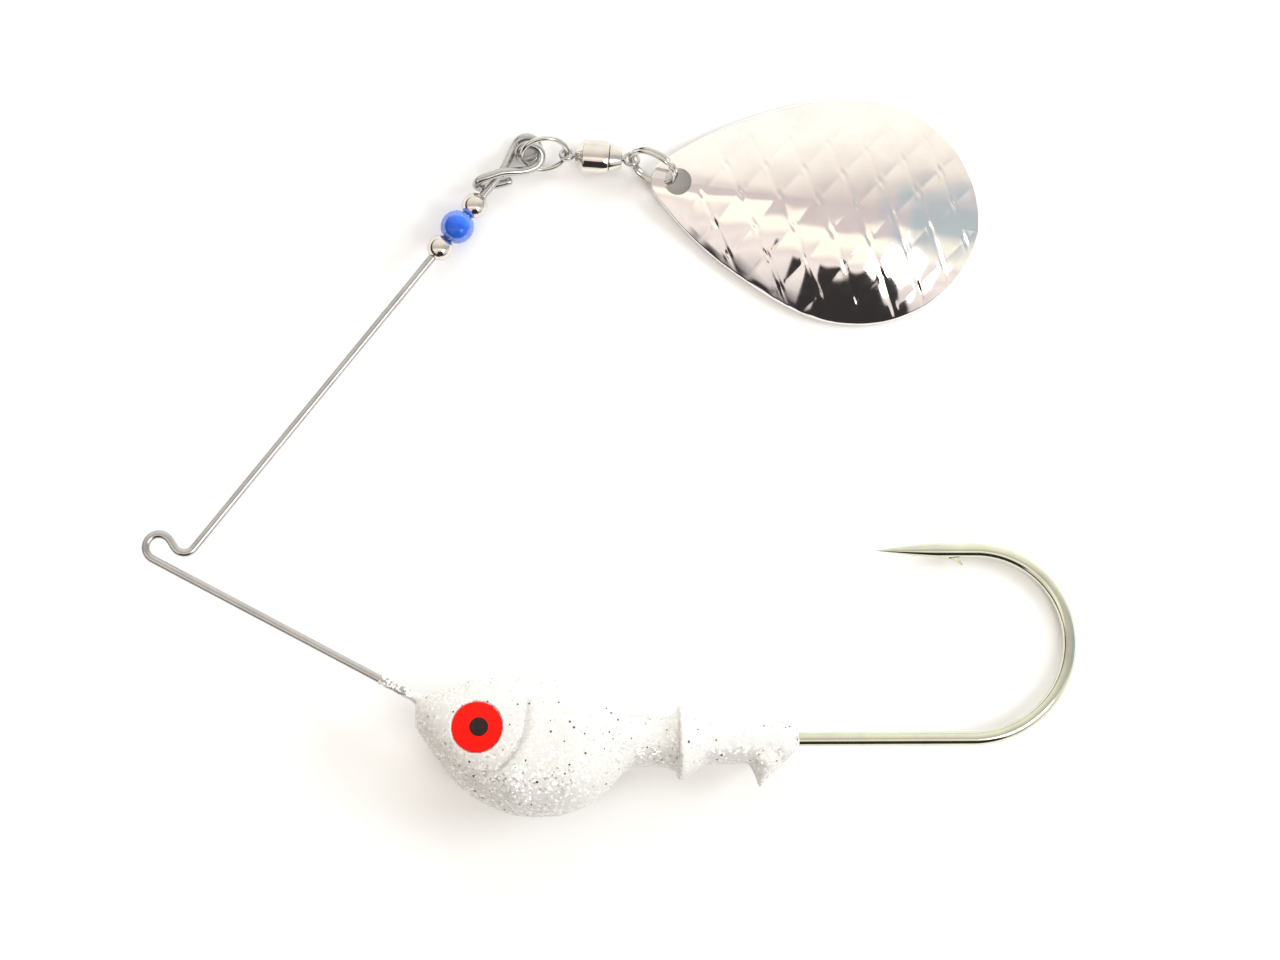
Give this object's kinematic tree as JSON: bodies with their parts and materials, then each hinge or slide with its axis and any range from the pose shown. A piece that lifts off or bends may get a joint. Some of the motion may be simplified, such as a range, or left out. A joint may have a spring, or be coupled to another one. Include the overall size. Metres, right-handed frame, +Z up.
{
  "type": "spinnerbait lure",
  "caption": "Safety-pin spinnerbait: painted fish-head jig and hook on a bent wire arm, with beads, a swivel and a domed blade.",
  "frame": {"origin": "middle of the footprint, on the table that the lure lies on", "axes": "+X from the line tie towards the hook bend and blade tip, +Y from the hook shank to the blade, +Z up from the table, out of the cheek that faces up"},
  "size_m": [0.111, 0.0856, 0.0114],
  "materials": {
    "wire": "bright drawn stainless",
    "paint": "white powder paint with fine silver glitter",
    "hook": "black nickel, bright",
    "eye_red": "glossy printed film",
    "pupil": "glossy black print",
    "nickel": "polished nickel plate",
    "blue_glass": "translucent blue",
    "steel": "bright",
    "blade_nickel": "polished nickel plate with a stamped scale pattern"
  },
  "bodies": {
    "wire_arm": {"wire_form": "wire", "head_casting": "paint", "hook": "hook", "left_eye_film": "eye_red", "left_eye_pupil": "pupil", "right_eye_film": "eye_red", "right_eye_pupil": "pupil"},
    "upper_bead": {"upper_metal_bead": "nickel"},
    "middle_bead": {"blue_bead": "blue_glass"},
    "lower_bead": {"lower_metal_bead": "nickel"},
    "front_ring": {"front_ring": "steel"},
    "swivel_body": {"front_eye_pin": "steel", "swivel_barrel": "nickel", "swivel_cap": "nickel", "bearing_race": "steel", "bearing_balls": "steel"},
    "swivel_spindle": {"rear_eye_pin": "steel"},
    "split_ring": {"split_ring": "nickel"},
    "blade": {"blade": "blade_nickel"}
  },
  "joints": [
    {"name": "front_ring_swing", "type": "hinge", "parent": "wire_arm", "child": "front_ring", "pos_m": [-0.00994, 0.03622, 0.0016], "axis": [0.1855, -0.5324, 0.8259], "range_deg": [-12, 12]},
    {"name": "swivel_swing", "type": "hinge", "parent": "front_ring", "child": "swivel_body", "pos_m": [-0.00543, 0.03585, 0.00216], "axis": [0.1856, 0.6129, 0.7681], "range_deg": [-50, 50]},
    {"name": "swivel_spin", "type": "hinge", "parent": "swivel_body", "child": "swivel_spindle", "pos_m": [-0.00543, 0.03585, 0.00216], "axis": [0.9973, -0.0732, 0], "continuous": true},
    {"name": "split_ring_swing", "type": "hinge", "parent": "swivel_spindle", "child": "split_ring", "pos_m": [0.00231, 0.03528, 0.00216], "axis": [0.0923, -0.5389, -0.8373], "range_deg": [-40, 40]},
    {"name": "blade_flap", "type": "hinge", "parent": "split_ring", "child": "blade", "pos_m": [0.00714, 0.03272, 0.00237], "axis": [0.1616, 0.9869, 0], "range_deg": [-6, 40]},
    {"name": "upper_bead_slide", "type": "slide", "parent": "wire_arm", "child": "upper_bead", "axis": [-0.6268, -0.7747, 0.0834], "range_m": [0, 0.014]},
    {"name": "blue_bead_slide", "type": "slide", "parent": "upper_bead", "child": "middle_bead", "axis": [-0.6268, -0.7747, 0.0834], "range_m": [0, 0.014]},
    {"name": "lower_bead_slide", "type": "slide", "parent": "middle_bead", "child": "lower_bead", "axis": [-0.6268, -0.7747, 0.0834], "range_m": [0, 0.014]}
  ]
}
